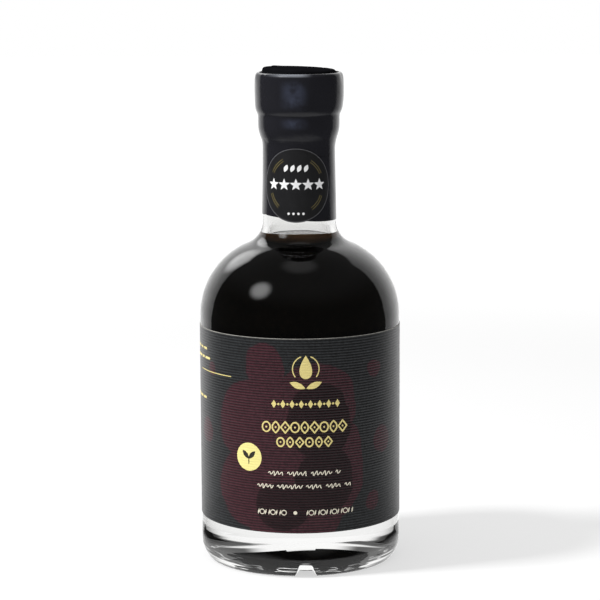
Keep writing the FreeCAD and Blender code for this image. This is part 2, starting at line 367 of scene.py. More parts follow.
def surface_material():
    """The glaze's free surface."""
    material, tree, shader = new_material("glaze_surface")
    colour = mixed(tree, noise(tree, 220.0), srgb(52, 24, 12), srgb(78, 46, 24))
    set_inputs(tree, shader, Base_Color=colour, Roughness=0.03, IOR=1.4)
    return material


def film_material():
    """Black film, with a painted bluish sheen in two bands at the front and a painted highlight along the
    front of its rim.
    """
    material, tree, shader = new_material("shrink_film")
    x, y, height = place(tree)
    colour = mixed(tree, noise(tree, 90.0), srgb(27, 27, 31), srgb(34, 34, 39))
    # Painted highlight: a pale line along the front of the rim, where the key lamp's highlight falls.
    painted_rim_highlight = height.between(162.0, 162.8) * x.patch(-12.0, -3.0, 0.0, 5.0) * (y < -8.0)
    # Painted reflection: a faint bluish sheen in two bands at the front of the film, on the head and lower
    # down.
    low, high = height.patch(144.5, 147.0, 147.0, 149.5), height.patch(150.5, 154.0, 158.5, 162.0)
    painted_front_sheen = low.most(high) * x.patch(-7.0, -2.0, -1.0, 4.0) * (y < 0.0)
    colour = mixed(tree, painted_front_sheen * noise(tree, 260.0).between(0.2, 0.7), colour, srgb(56, 60, 74))
    colour = mixed(tree, painted_rim_highlight, colour, srgb(124, 127, 134))
    rough = noise(tree, 140.0) * 0.08 + 0.12
    grain = bump(tree, noise(tree, 700.0, 3.0) + noise(tree, 130.0, 2.0) * 4.0, 0.00003)
    set_inputs(tree, shader, Base_Color=colour, Roughness=rough, IOR=1.4, Normal=grain)
    return material


def film_end_material():
    """The film's folded end, dull from wrinkling, and darker than the rest of the film as painted shade."""
    material, tree, shader = new_material("shrink_film_end")
    # Painted shade: a darker colour than the film's sides, so that the lit top shows as dark.
    colour = mixed(tree, noise(tree, 200.0), srgb(13, 13, 15), srgb(22, 22, 25))
    grain = bump(tree, noise(tree, 500.0, 4.0), 0.0001)
    set_inputs(tree, shader, Base_Color=colour, Roughness=0.5, Specular_IOR_Level=0.0, Normal=grain)
    return material


def stopper_material():
    material, tree, shader = new_material("stopper_plastic")
    colour = mixed(tree, noise(tree, 120.0), srgb(42, 42, 44), srgb(54, 54, 56))
    grain = bump(tree, noise(tree, 2500.0), 0.00002)
    set_inputs(tree, shader, Base_Color=colour, Roughness=0.55, Normal=grain)
    return material


def sticker_material():
    material, tree, shader = new_material("sticker_paper")
    colour = mixed(tree, noise(tree, 300.0), srgb(24, 24, 26), srgb(34, 34, 36))
    grain = bump(tree, noise(tree, 3000.0), 0.00001)
    set_inputs(tree, shader, Base_Color=colour, Roughness=0.5, Normal=grain)
    return material


def ink_material(name, dark, light, roughness=0.45):
    material, tree, shader = new_material(name)
    colour = mixed(tree, noise(tree, 900.0, 4.0), dark, light)
    grain = bump(tree, noise(tree, 4000.0), 0.00001)
    set_inputs(tree, shader, Base_Color=colour, Roughness=roughness, Normal=grain)
    return material


def pool_edge(across, up, centre, half_wide, half_tall):
    """How far a point lies outside an oval, about in millimetres."""
    wide = (across - centre[0]) / half_wide
    tall = (up - centre[1]) / half_tall
    return ((wide * wide + tall * tall).root() - 1.0) * min(half_wide, half_tall)


# Centre, half width and half height of each pool.
WINE_POOLS = [
    ((-16.0, 51.0), 13.5, 14.5), ((5.0, 58.0), 14.5, 13.5), ((-17.5, 30.0), 12.5, 13.5),
    ((11.0, 37.0), 11.5, 17.0), ((-3.0, 41.0), 7.0, 9.0), ((-3.0, 21.0), 16.0, 11.0),
    ((-12.0, 70.0), 6.5, 8.0), ((-39.0, 46.0), 4.2, 4.2), ((31.0, 44.0), 4.6, 4.6),
    ((27.5, 68.0), 2.8, 2.8), ((-34.5, 67.0), 2.4, 2.4), ((27.0, 24.0), 3.2, 3.2),
]
PLUM_POOLS = [((6.5, 52.0), 10.5, 13.0), ((8.0, 33.0), 9.5, 12.0), ((-6.0, 24.0), 9.0, 8.0)]
POOL_WAVER = 5.0
RIB_SHADE = 0.75                # how much of its colour the label loses between its ribs, as painted shade in the grooves


def label_material():
    """Ribbed slate paper, paler on its ribs and darker between them as painted shade, with round pools of
    wine and plum that run together.
    """
    material, tree, shader = new_material("label_paper")
    x, y, up = place(tree)
    across = x.math("ARCTAN2", y * -1.0) * LABEL_RADIUS
    ripple = noise(tree, 110.0, 2.0)
    mottle = (noise(tree, 1500.0, 3.0, stretch=(1, 1, 0.5)) - 0.5) * 2.4 + 0.5
    slate = mixed(tree, mottle, srgb(29, 31, 33), srgb(51, 54, 57))
    wine = mixed(tree, mottle, srgb(60, 21, 32), srgb(86, 38, 50))
    plum = mixed(tree, mottle, srgb(36, 5, 13), srgb(52, 17, 26))
    bent = across + (ripple - 0.5) * POOL_WAVER

    def nearest(pools):
        edges = [pool_edge(bent, up, *pool) for pool in pools]
        field = edges[0]
        for edge in edges[1:]:
            field = field.least(edge)
        return field.between(-0.25, 0.25)

    colour = mixed(tree, nearest(WINE_POOLS), wine, slate)
    colour = mixed(tree, nearest(PLUM_POOLS), plum, colour)
    # Painted shade: the colour darkens in the grooves between the ribs.
    crest = (up - LABEL_LOW) * (FULL_TURN / RIB_PITCH) - math.pi / 2
    ridge = crest.sine() * 0.5 + 0.5
    colour = mixed(tree, ridge * RIB_SHADE + (1 - RIB_SHADE), grey(0.0), colour)
    fibres = bump(tree, noise(tree, 2600.0, 5.0, roughness=0.65), 0.00004)
    set_inputs(tree, shader, Base_Color=colour, Roughness=0.42, Normal=fibres, Sheen_Weight=0.32,
               Sheen_Roughness=0.33)
    return material


# ---------------------------------------------------------------- glass and glaze

def cavity_corners(grow):
    """The inside of the glass from the neck's foot down to the middle of its floor, moved out into it."""
    share = (SHOULDER - WALL + grow) / ARC_SUM
    inner = INNER_RADIUS + grow
    corners = [
        (NECK_FOOT - WALL + grow, FLARE_END),
        (SHOULDER_X + (FLARE_X - SHOULDER_X) * share, SHOULDER_HEIGHT + ARC_RISE * share),
        (inner, SHOULDER_HEIGHT),
        (inner, FLOOR + FLOOR_ROUNDING),
        (inner - FLOOR_ROUNDING - grow, FLOOR - grow),
        (0.0, FLOOR - grow),
    ]
    arcs = {
        0: (FLARE + WALL - grow, 1),
        1: (SHOULDER - WALL + grow, -1),
        3: (FLOOR_ROUNDING + grow, -1),
    }
    return corners, arcs


INSIDE_SPACING = {2: 8.0, 3: 0.7, 4: 1.8}       # between points on its wall, its rounding and its floor


def uneven_inside(points):
    """Push the inside of the glass in and out a little, as in any blown bottle."""
    x, y, height = points[..., 0], points[..., 1], points[..., 2]
    turn = np.arctan2(x, -y)
    wall = smooth_step(height, FLOOR + 1, FLOOR + 12) * smooth_step(-height, -FLARE_END, -SHOULDER_HEIGHT)
    push = wall * (0.14 * np.sin(2 * turn + 0.7) + 0.06 * np.sin(3 * turn + height / 11))
    stretch = 1 + push / np.maximum(np.hypot(x, y), 1)
    low = 1 - smooth_step(height, FLOOR + 2, FLOOR + 10)
    sway = low * (0.22 * np.sin(x / 6.5 + 0.9) * np.cos(y / 8 - 0.4) + 0.12 * np.sin(y / 4.2 + x / 9))
    return np.stack([x * stretch, y * stretch, height + sway], -1)


def cut_notch(points):
    """Lift what lies in the notch of the heel up to its slanting roof."""
    x, y, height = points[..., 0], points[..., 1], points[..., 2]
    side = np.abs(x - NOTCH_ASIDE)
    half = NOTCH_WIDE / 2
    wide = 1 - smooth_step(side, half - NOTCH_DRAFT - 0.3, half + 0.1)
    deep = smooth_step(-y, NOTCH_END - 0.4, NOTCH_END + 0.4)
    roof = np.maximum(NOTCH_TALL - (BODY_RADIUS + y), NOTCH_ROOF)
    return np.stack([x, y, np.maximum(height, roof * deep * wide)], -1)


def pushup_ripple(points):
    """A low raised ring under the push-up, uneven as cast glass is."""
    x, y, height = points[..., 0], points[..., 1], points[..., 2]
    radius, turn = np.hypot(x, y), np.arctan2(x, -y)
    inside = (radius < RING_INNER - 0.5) & (height < PUSHUP_RISE + 0.1)
    tall = 0.5 + 0.3 * np.sin(7 * turn + 1.2) + 0.2 * np.sin(17 * turn)
    fade = smooth_step(-radius, -RING_INNER + 0.5, -RING_INNER + 2.5)
    lift = tall * np.exp(-((radius - RIPPLE_AT) / RIPPLE_WIDE) ** 2) * fade
    return np.stack([x, y, height + np.where(inside, lift, 0)], -1)


def foot_ridges(points):
    """Fine radial ridges under the foot ring, as moulds leave them."""
    x, y, height = points[..., 0], points[..., 1], points[..., 2]
    radius = np.hypot(x, y)
    band = np.exp(-((radius - (RING_OUTER - RING_WIDTH / 2)) / (RING_WIDTH * 0.42)) ** 4)
    lift = FOOT_RIDGE * band * (0.5 + 0.5 * np.cos(FOOT_RIDGES * np.arctan2(x, -y)))
    return np.stack([x, y, height + np.where(height < 0.05, lift, 0)], -1)


def heel_waves(points):
    """Shallow waves along the heel, which break up what shows through it."""
    x, y, height = points[..., 0], points[..., 1], points[..., 2]
    radius, turn = np.hypot(x, y), np.arctan2(x, -y)
    zone = smooth_step(radius, RING_OUTER + 0.2, RING_OUTER + 1.0)
    zone = zone * (1 - smooth_step(height, HEEL_TOP, HEEL_TOP + 3))
    wave = np.sin(height * 3.1 + 1.1 * np.sin(2 * turn + 0.6)) * (0.6 + 0.4 * np.sin(5 * turn + 0.5 * height))
    wave = wave + 0.6 * np.sin(height * 5.3 - 0.8 * np.sin(3 * turn) + 2.0) * np.sin(4 * turn + 1.0)
    stretch = 1 + HEEL_WAVE * zone * wave / np.maximum(radius, 1)
    return np.stack([x * stretch, y * stretch, height], -1)


def make_glass():
    """One closed skin: up the outside from under the push-up, over the lip and down the inside."""
    dome = (RING_INNER ** 2 + PUSHUP_RISE ** 2) / (2 * PUSHUP_RISE)
    blend = SHOULDER / ARC_SUM
    lip_foot = NECK_TOP + LIP_SLOPE
    inside, inside_arcs = cavity_corners(0.0)
    outside = [
        (0.0, PUSHUP_RISE),
        (RING_INNER, 0.0),
        (RING_OUTER, 0.0),
        (RING_OUTER + TOE * math.cos(HEEL_SWEEP), TOE - TOE * math.sin(HEEL_SWEEP)),
        (BODY_RADIUS, HEEL_TOP),
        (BODY_RADIUS, SHOULDER_HEIGHT),
        (SHOULDER_X + (FLARE_X - SHOULDER_X) * blend, SHOULDER_HEIGHT + ARC_RISE * blend),
        (NECK_FOOT, FLARE_END),
        (NECK_RADIUS, NECK_TOP),
        (LIP_RADIUS, lip_foot),
        (LIP_RADIUS, LIP_TOP - LIP_ROUNDING),
        (LIP_RADIUS - LIP_ROUNDING, LIP_TOP),
        (BORE, LIP_TOP),
        (BORE, LIP_TOP - SHANK),
    ]
    arcs = {0: (dome, -1), 2: (TOE, 1), 3: (HEEL, 1), 5: (SHOULDER, 1), 6: (FLARE, -1), 10: (LIP_ROUNDING, 1)}
    spacing = {None: 1.1, 0: 0.8, 1: 0.4, 2: 0.2, 3: 0.4, 4: 8.0, 7: 5.0, 8: 1.2, 9: 2.0, 10: 0.3, 11: 1.5,
               12: 5.0, 13: 5.0}
    arcs.update({index + len(outside): arc for index, arc in inside_arcs.items()})
    spacing.update({index + len(outside): step for index, step in INSIDE_SPACING.items()})
    outline = trace(outside + inside, arcs, spacing)
    middle = math.asin(NOTCH_ASIDE / RING_OUTER)
    spread = NOTCH_WIDE / RING_INNER * 0.75
    turns = full_circle(360, (middle - spread, middle + spread, 90))
    rows = around(outline[1:-1, :1], turns[None, :], outline[1:-1, 1:])
    outer_rows = int(np.argmax(outline[:, 1])) + 1
    rows[outer_rows:] = uneven_inside(rows[outer_rows:])
    rows[:outer_rows] = cut_notch(foot_ridges(pushup_ripple(heel_waves(rows[:outer_rows]))))
    floor = uneven_inside(np.array([0.0, 0.0, FLOOR]))
    shape = skin(rows, first=(0, 0, PUSHUP_RISE), last=floor)
    return make_piece("glass_shell", shape, glass_material(), "bottle", math.radians(70))


# From the middle of the free surface out to the glass: distance from the glass and share of the climb.
MENISCUS = [(8.5, 0.0), (5.0, 0.0), (3.2, 0.01), (2.2, 0.06), (1.5, 0.16), (1.0, 0.32),
            (0.65, 0.52), (0.4, 0.74), (0.2, 0.92), (0.06, 1.0), (0.0, 0.97)]


def make_glaze():
    """The glaze reaches just into the glass, and climbs it a little above its level."""
    corners, arcs = cavity_corners(GLAZE_INTO_GLASS)
    outline = trace(corners, arcs, {None: 1.1, **INSIDE_SPACING})
    outline = outline[outline[:, 1] < LEVEL - 0.5][:-1]
    turns = full_circle(256)
    rows = uneven_inside(around(outline[:, :1], turns[None, :], outline[:, 1:]))

    front = np.cos(turns)
    climb = CLIMB_SIDE + front * (CLIMB_FRONT - CLIMB_BACK) / 2
    climb = climb + front ** 2 * ((CLIMB_FRONT + CLIMB_BACK) / 2 - CLIMB_SIDE)
    climb = climb + 0.06 * np.sin(turns * 2 + 1.0) + 0.04 * np.sin(turns * 5)
    flare_in = FLARE + WALL - GLAZE_INTO_GLASS

    def wall_at(height):
        return FLARE_X - np.sqrt(flare_in ** 2 - (FLARE_END - height) ** 2)

    tops = []
    for inwards, share in MENISCUS:
        height = LEVEL + climb * share
        tops.append(around(wall_at(height) - inwards, turns, height))
    rows = np.concatenate([np.array(tops), rows])
    bottom = uneven_inside(np.array([0.0, 0.0, FLOOR - GLAZE_INTO_GLASS]))
    shape = skin(rows, first=(0, 0, LEVEL), last=bottom)
    glaze = make_piece("glaze_body", shape, glaze_material(), "glaze")
    glaze.data.materials.append(surface_material())
    for face in glaze.data.polygons:
        x, y, height = face.center / MM
        free = height > LEVEL - 0.3 and math.hypot(x, y) < wall_at(min(height, FLARE_END)) - 0.08
        face.material_index = int(free)
    return glaze


# ---------------------------------------------------------------- capsule, sticker and their print

# Outline of the film from its lower edge to the middle of its top.
FILM_OUTLINE = [
    (12.40, 115.4), (12.28, 122.0), (12.11, 130.0), (12.02, 136.6), (12.08, 139.3), (12.33, 140.7),
    (13.10, 143.2), (13.44, 144.8), (13.53, 146.5), (13.54, 148.4), (13.66, 149.4), (14.10, 150.4),
    (14.42, 151.5), (14.60, 153.2), (14.74, 156.5), (14.72, 159.8), (14.62, 161.4), (14.42, 162.4),
    (14.05, 163.0), (13.55, 163.2), (13.1, 163.05), (12.7, 162.85), (12.35, 163.0), (12.15, 163.6),
    (11.9, 164.05), (11.4, 164.3), (10.5, 164.35), (6.0, 164.35), (0.0, 164.35),
]

# Turn, half width and height of the folds round the rim.
FILM_FOLDS = [(-1.35, 0.10, 0.16), (-0.95, 0.07, -0.12), (0.62, 0.06, 0.10), (1.3, 0.09, -0.14),
              (2.2, 0.10, 0.2), (2.9, 0.06, -0.12), (-2.4, 0.08, 0.18)]

# Creases across the folded end, each from one (x, y) to another, and its height.
FILM_CREASES = [
    ((-12.0, -4.5), (-4.5, -11.8), 0.32), ((-11.0, -1.0), (2.0, -11.6), -0.20),
    ((0.6, -12.2), (5.5, -6.0), 0.26), ((5.5, -6.0), (11.0, 2.0), 0.16),
    ((-9.0, 7.0), (3.0, 4.0), 0.22), ((3.0, 4.0), (9.0, 8.5), -0.18), ((3.0, 4.0), (1.5, -3.5), 0.14),
]
CREASE_WIDE = 0.42


def smooth_line(points, count):
    """Points spread evenly along a smooth line through the ones given."""
    points = np.array(points, float)
    before, after = 2 * points[0] - points[1], 2 * points[-1] - points[-2]
    held = np.vstack([before, points, after])
    line = []
    for index in range(1, len(held) - 2):
        p0, p1, p2, p3 = held[index - 1:index + 3]
        t = np.linspace(0, 1, 24, endpoint=False)[:, None]
        line.append(p1 + t * (p2 - p0) / 2 + t ** 2 * (p0 - 2.5 * p1 + 2 * p2 - p3 / 2)
                    + t ** 3 * (-p0 + 3 * p1 - 3 * p2 + p3) / 2)
    line = np.vstack([*line, points[-1:]])
    along = np.concatenate([[0], np.cumsum(np.linalg.norm(np.diff(line, axis=0), axis=1))])
    even = np.linspace(0, along[-1], count)
    return np.stack([np.interp(even, along, line[:, axis]) for axis in range(2)], -1)


def film_swell(turn, height):
    """How far the film stands off its outline: loose folds near the top, hardly any on the neck."""
    head = smooth_step(height, 150.0, 156.0)
    low = 0.03 * np.sin(3 * turn + 0.4) + 0.02 * np.sin(5 * turn + height / 4)
    folds = 0
    for where, wide, tall in FILM_FOLDS:
        off = (turn - where + math.pi) % FULL_TURN - math.pi
        folds = folds + tall * np.exp(-(off / wide) ** 2)
    rim = smooth_step(height, 159.0, 162.5)
    return low + head * (0.18 * np.sin(turn) + 0.06 + 0.05 * np.sin(2 * turn + 0.5)) + rim * folds


def film_radius(turn, height):
    """The film's outside below its rim."""
    outline = smooth_line(FILM_OUTLINE, 160)
    rising = outline[outline[:, 1] < 163.0]
    return np.interp(height, rising[:, 1], rising[:, 0]) + film_swell(turn, height)


def creases(x, y):
    """Height of the creases at places on the folded end."""
    total = 0
    for (x0, y0), (x1, y1), tall in FILM_CREASES:
        length = math.hypot(x1 - x0, y1 - y0)
        ahead_x, ahead_y = (x1 - x0) / length, (y1 - y0) / length
        along = (x - x0) * ahead_x + (y - y0) * ahead_y
        aside = (x - x0) * ahead_y - (y - y0) * ahead_x
        ends = smooth_step(along, -0.6, 0.8) * smooth_step(-along, -length - 0.6, -length + 0.8)
        total = total + tall * ends * np.exp(-(aside / CREASE_WIDE) ** 2)
    return total


def make_film():
    outline = smooth_line(FILM_OUTLINE, 210)
    turns = full_circle(256)
    radius, height = outline[:-1, :1], outline[:-1, 1:]
    turn = np.broadcast_to(turns[None, :], (len(radius), len(turns)))

    def layer(inset):
        flat = smooth_step(-radius, -13.2, -12.2)
        wide = radius + film_swell(turn, height) * smooth_step(radius, 4, 12) - inset * (1 - flat)
        points = around(wide, turn, np.broadcast_to(height, turn.shape) - inset * flat)
        x, y = points[..., 0], points[..., 1]
        # The folded end stands up inside the rim, higher on the left.
        end = smooth_step(-radius, -12.8, -12.0)
        points[..., 2] += end * (0.10 - 0.038 * x + creases(x, y))
        sag = 1 - smooth_step(height, FILM_EDGE, FILM_EDGE + 7)
        points[..., 2] += sag * (-0.8 * np.sin(turn) - 0.12 * np.sin(3 * turn + 0.6) + 0.05)
        return points

    outer, inner = layer(0.0), layer(FILM)[::2]
    rows = np.concatenate([inner[::-1], outer])
    centre = outer[-1].mean(axis=0)
    shape = skin(rows, first=centre - (0, 0, FILM), last=centre)
    film = make_piece("capsule_film", shape, film_material(), "capsule")
    film.data.materials.append(film_end_material())
    for face in film.data.polygons:
        x, y, height = face.center / MM
        wrinkled = height > FILM_END_UP and math.hypot(x, y) < FILM_END_WIDE
        face.material_index = int(wrinkled)
    return film


def make_stopper():
    """The stopper fills the film loosely, since the film's end dips where it is folded."""
    foot = LIP_TOP - SHANK
    outline = [(0.0, STOPPER_TOP), (11.0, STOPPER_TOP), (13.2, 160.6), (13.9, 158.0), (13.6, 152.6),
               (12.8, LIP_TOP + 0.4), (12.6, LIP_TOP), (BORE, LIP_TOP), (BORE - 0.02, foot), (0.0, foot)]
    line = trace(outline, {}, 3.0)
    rows = around(line[1:-1, :1], full_circle(128)[None, :], line[1:-1, 1:])
    shape = skin(rows, first=(0, 0, STOPPER_TOP), last=(0, 0, foot))
    return make_piece("stopper_plug", shape, stopper_material(), "stopper", math.radians(30))


def on_sticker(across, up, lift):
    turn = across / film_radius(0.0, (STICKER_LOW + STICKER_TOP) / 2) + STICKER_TURN
    return around(film_radius(turn, up) + STICKER_THICK + lift, turn, up)


def rib_height(up):
    """How far the label's ribs stand out at a height."""
    return RIB_DEPTH * (0.5 - 0.5 * np.cos(FULL_TURN * (up - LABEL_LOW) / RIB_PITCH)) - RIB_DEPTH


def on_label(across, up, lift):
    turn = across / LABEL_RADIUS
    return around(LABEL_RADIUS + rib_height(up) + lift, turn, up)


def make_sticker():
    middle = (STICKER_LOW + STICKER_TOP) / 2
    radius = (STICKER_TOP - STICKER_LOW) / 2
    shape = disc(on_sticker, (0.0, middle), oval(radius, radius), 0.0, depth=STICKER_THICK + 0.05, rings=20,
                 steps=96)
    return make_piece("sticker", shape, sticker_material(), "neck_sticker")


# ---------------------------------------------------------------- flat shapes, printed on a curved surface

def oval(half_wide, half_tall):
    return lambda angle: (half_wide * np.sin(angle), half_tall * np.cos(angle))


def leaf(half_wide, half_tall):
    return lambda angle: (half_wide * np.sin(angle) * np.abs(np.sin(angle)), half_tall * np.cos(angle))


def lozenge(half_wide, half_tall):
    return lambda angle: (half_wide * np.sin(angle) * np.abs(np.sin(angle)),
                          half_tall * np.cos(angle) * np.abs(np.cos(angle)))


def drop(half_wide, half_tall):
    return lambda angle: (half_wide / 0.86 * np.sin(angle) * np.abs(np.sin(angle / 2)) ** 1.1,
                          half_tall * np.cos(angle))


def star(radius, points=5, waist=0.42):
    def outline(angle):
        share = np.abs((angle * points / FULL_TURN) % 1 - 0.5) * 2
        reach = radius * waist / (1 - share * (1 - waist))
        return reach * np.sin(angle), reach * np.cos(angle)
    return outline


def disc(surface, centre, outline, lift, tilt=0.0, depth=0.05, rings=6, steps=48):
    """A thin solid on a surface, round a centre (across, up); the outline gives its edge for each angle."""
    angle = np.linspace(0, FULL_TURN, steps, endpoint=False)
    wide, tall = outline(angle)
    cos, sin = math.cos(tilt), math.sin(tilt)
    across, up = wide * cos + tall * sin, tall * cos - wide * sin
    shares = np.linspace(1, 0, rings + 1)[:-1, None]
    top = surface(centre[0] + across * shares, centre[1] + up * shares, lift)
    edge = surface(centre[0] + across, centre[1] + up, lift - depth)
    tips = [surface(np.array(centre[0]), np.array(centre[1]), height) for height in (lift - depth, lift)]
    return skin(np.concatenate([edge[None], top]), first=tips[0], last=tips[1])


def ribbon(surface, path, width, lift, closed=False, depth=0.05):
    """A thin band of that width along a path of (across, up) points, with round ends unless it is closed."""
    path = np.array(path, float)
    if not closed:
        along = np.concatenate([[0], np.cumsum(np.linalg.norm(np.diff(path, axis=0), axis=1))])
        round_off = width / 2 * (1 - np.cos(np.linspace(0.25, math.pi / 2, 5)))
        middle = np.linspace(width / 2, along[-1] - width / 2, max(2, round((along[-1] - width) / 0.3)))
        even = np.concatenate([round_off[:-1], middle, along[-1] - round_off[:-1][::-1]])
        tips = [path[0], path[-1]]
        path = np.stack([np.interp(even, along, path[:, axis]) for axis in range(2)], -1)
        from_end = np.minimum(np.minimum(even, along[-1] - even), width / 2)
        half = np.sqrt(np.maximum((width / 2) ** 2 - (width / 2 - from_end) ** 2, 0))
        ahead = np.gradient(path, axis=0)
    else:
        half = np.full(len(path), width / 2)
        ahead = np.roll(path, -1, axis=0) - np.roll(path, 1, axis=0)
    side = np.stack([-ahead[:, 1], ahead[:, 0]], -1) / np.linalg.norm(ahead, axis=1)[:, None]
    shares = np.linspace(-1, 1, max(2, math.ceil(width / 0.2) + 1))
    spots = path[:, None, :] + side[:, None, :] * half[:, None, None] * shares[None, :, None]
    top = surface(spots[..., 0], spots[..., 1], lift)
    low = surface(spots[:, ::-1][:, [0, -1], 0], spots[:, ::-1][:, [0, -1], 1], lift - depth)
    rows = np.concatenate([top, low], axis=1)
    if closed:
        return skin(rows, closed_along=True)
    ends = [surface(tip[0], tip[1], lift - depth / 2) for tip in tips]
    return skin(rows, first=ends[0], last=ends[1])


def circle_path(centre, radius, begin=0.0, end=FULL_TURN, steps=96):
    angle = np.linspace(begin, end, steps, endpoint=abs(end - begin) < FULL_TURN - 1e-6)
    return np.stack([centre[0] + radius * np.sin(angle), centre[1] + radius * np.cos(angle)], -1)


def bar(surface, begin, end, up, tall, lift=PRINT_LIFT):
    return ribbon(surface, [(begin, up), (end, up)], tall, lift)


def garland(surface, begin, end, up, outline, count, lift=PRINT_LIFT, tilt=0.0, small=None):
    """A row of equal shapes from begin to end, with a dot between neighbours if small is its radius."""
    parts = []
    pitch = (end - begin) / count
    for index in range(count):
        centre = (begin + pitch * (index + 0.5), up)
        parts.append(disc(surface, centre, outline, lift, tilt=tilt))
        if small and index:
            between = (begin + pitch * index, up)
            parts.append(disc(surface, between, oval(small, small), lift, rings=3, steps=20))
    return parts


def short_bars(surface, begin, end, up, tall, seed, lift=PRINT_LIFT):
    """A row of rounded bars of uneven length, as fine print looks from afar."""
    draw = np.random.default_rng(seed)
    parts, at = [], begin
    while at < end - 1.0:
        stop = min(at + draw.uniform(2.0, 5.2), end)
        parts.append(bar(surface, at, stop, up, tall, lift))
        at = stop + 0.9
    return parts


def open_shapes(surface, begin, end, up, reach, count, stroke=0.5, lift=PRINT_LIFT):
    """A row of outlined rings, leaves and lozenges."""
    angle = np.linspace(0, FULL_TURN, 48, endpoint=False)
    parts = []
    kinds = (oval(reach * 0.72, reach * 0.86), leaf(reach * 0.62, reach), lozenge(reach * 0.8, reach))
    for index in range(count):
        wide, tall = kinds[index % 3](angle)
        middle = begin + (end - begin) * (index + 0.5) / count
        path = np.stack([middle + wide, up + tall], -1)
        steps = np.linalg.norm(path - np.roll(path, 1, axis=0), axis=1)
        path = path[steps > 0.04]
        parts.append(ribbon(surface, path, stroke, lift, closed=True))
        parts.append(disc(surface, (middle, up), oval(0.3, 0.3), lift, rings=3, steps=16))
    return parts


def scribbles(surface, begin, end, up, seed, lift=PRINT_LIFT):
    """A row of thin waves in lengths like words, as slanting handwriting looks from afar."""
    draw = np.random.default_rng(seed)
    parts, at = [], begin
    while at < end - 1.5:
        stop = min(at + draw.uniform(4.5, 8.5), end)
        across = np.linspace(at, stop, max(12, round((stop - at) / 0.11)))
        swell = 0.62 + 0.22 * np.sin(across * 1.9 + seed)
        wave = np.sin((across - at) * FULL_TURN / 1.35)
        path = np.stack([across + wave * swell * 0.3, up + wave * swell], -1)
        parts.append(ribbon(surface, path, 0.3, lift))
        at = stop + 1.3
    return parts


def ticks(surface, begin, end, up, tall, lift=PRINT_LIFT):
    """A row of thin upright strokes, each third one a small ring of two halves."""
    count = round((end - begin) / 1.25)
    parts = []
    for index in range(count):
        centre = (begin + (end - begin) * (index + 0.5) / count, up)
        if index % 3 == 1:
            path = circle_path(centre, tall * 0.42, steps=20)
            parts.append(ribbon(surface, path, 0.26, lift, closed=True))
        else:
            stroke = leaf(0.24, tall / 2)
            parts.append(disc(surface, centre, stroke, lift, tilt=math.radians(14), rings=4, steps=20))
    return parts


def make_label():
    half_gap = LABEL_GAP / 2 / LABEL_RADIUS
    turns = np.linspace(-math.pi + half_gap, math.pi - half_gap, 168)
    ribs = round((LABEL_TOP - LABEL_LOW) / RIB_PITCH)
    up = np.linspace(LABEL_LOW, LABEL_TOP, ribs * 5 + 1)
    outer = on_label(turns[None, :] * LABEL_RADIUS, up[:, None], 0.0)
    inner = around(BODY_RADIUS - 0.02, turns[None, :], np.array([[LABEL_TOP], [LABEL_LOW]]))
    rows = np.concatenate([outer, inner])
    points, faces = skin(rows, closed_round=False, closed_along=True)
    count, across = rows.shape[:2]
    ends = np.arange(count) * across
    faces += [ends.tolist(), (ends + across - 1)[::-1].tolist()]
    sharp = math.radians(60)
    label = make_piece("label_sheet", (points, faces), label_material(), "label", sharp)
    label.data.materials.append(ink_material("paper_edge", srgb(84, 82, 78), srgb(196, 194, 186), 0.8))
    for face in label.data.polygons:
        height = face.center.z / MM
        if height > LABEL_TOP - 0.15 or height < LABEL_LOW + 0.05:
            face.material_index = 1
    return label


def emblem():
    """A drop over two leaves, between two arcs."""
    u, z = 1.9, 69.7
    parts = [disc(on_label, (u, z + 0.6), drop(2.35, 3.9), PRINT_LIFT, rings=14, steps=64)]
    for side in (-1, 1):
        centre, tilt = (u + 2.7 * side, z - 5.4), math.radians(68 * side)
        parts.append(disc(on_label, centre, leaf(1.0, 2.7), PRINT_LIFT, tilt, rings=8))
    for begin, end in ((-128, -20), (20, 128)):
        path = circle_path((u, z), 4.3, math.radians(begin), math.radians(end))
        parts.append(ribbon(on_label, path, 0.35, PRINT_LIFT))
    return parts


def sprout(centre):
    """Two leaves on a stalk."""
    u, z = centre
    lift = PRINT_LIFT + 0.02
    parts = []
    for side in (-1, 1):
        centre, tilt = (u + 1.15 * side, z + 0.7), math.radians(42 * side)
        parts.append(disc(on_label, centre, leaf(0.75, 1.8), lift, tilt, rings=8))
    parts.append(ribbon(on_label, [(u, z - 2.4), (u, z - 0.4)], 0.35, lift))
    return parts


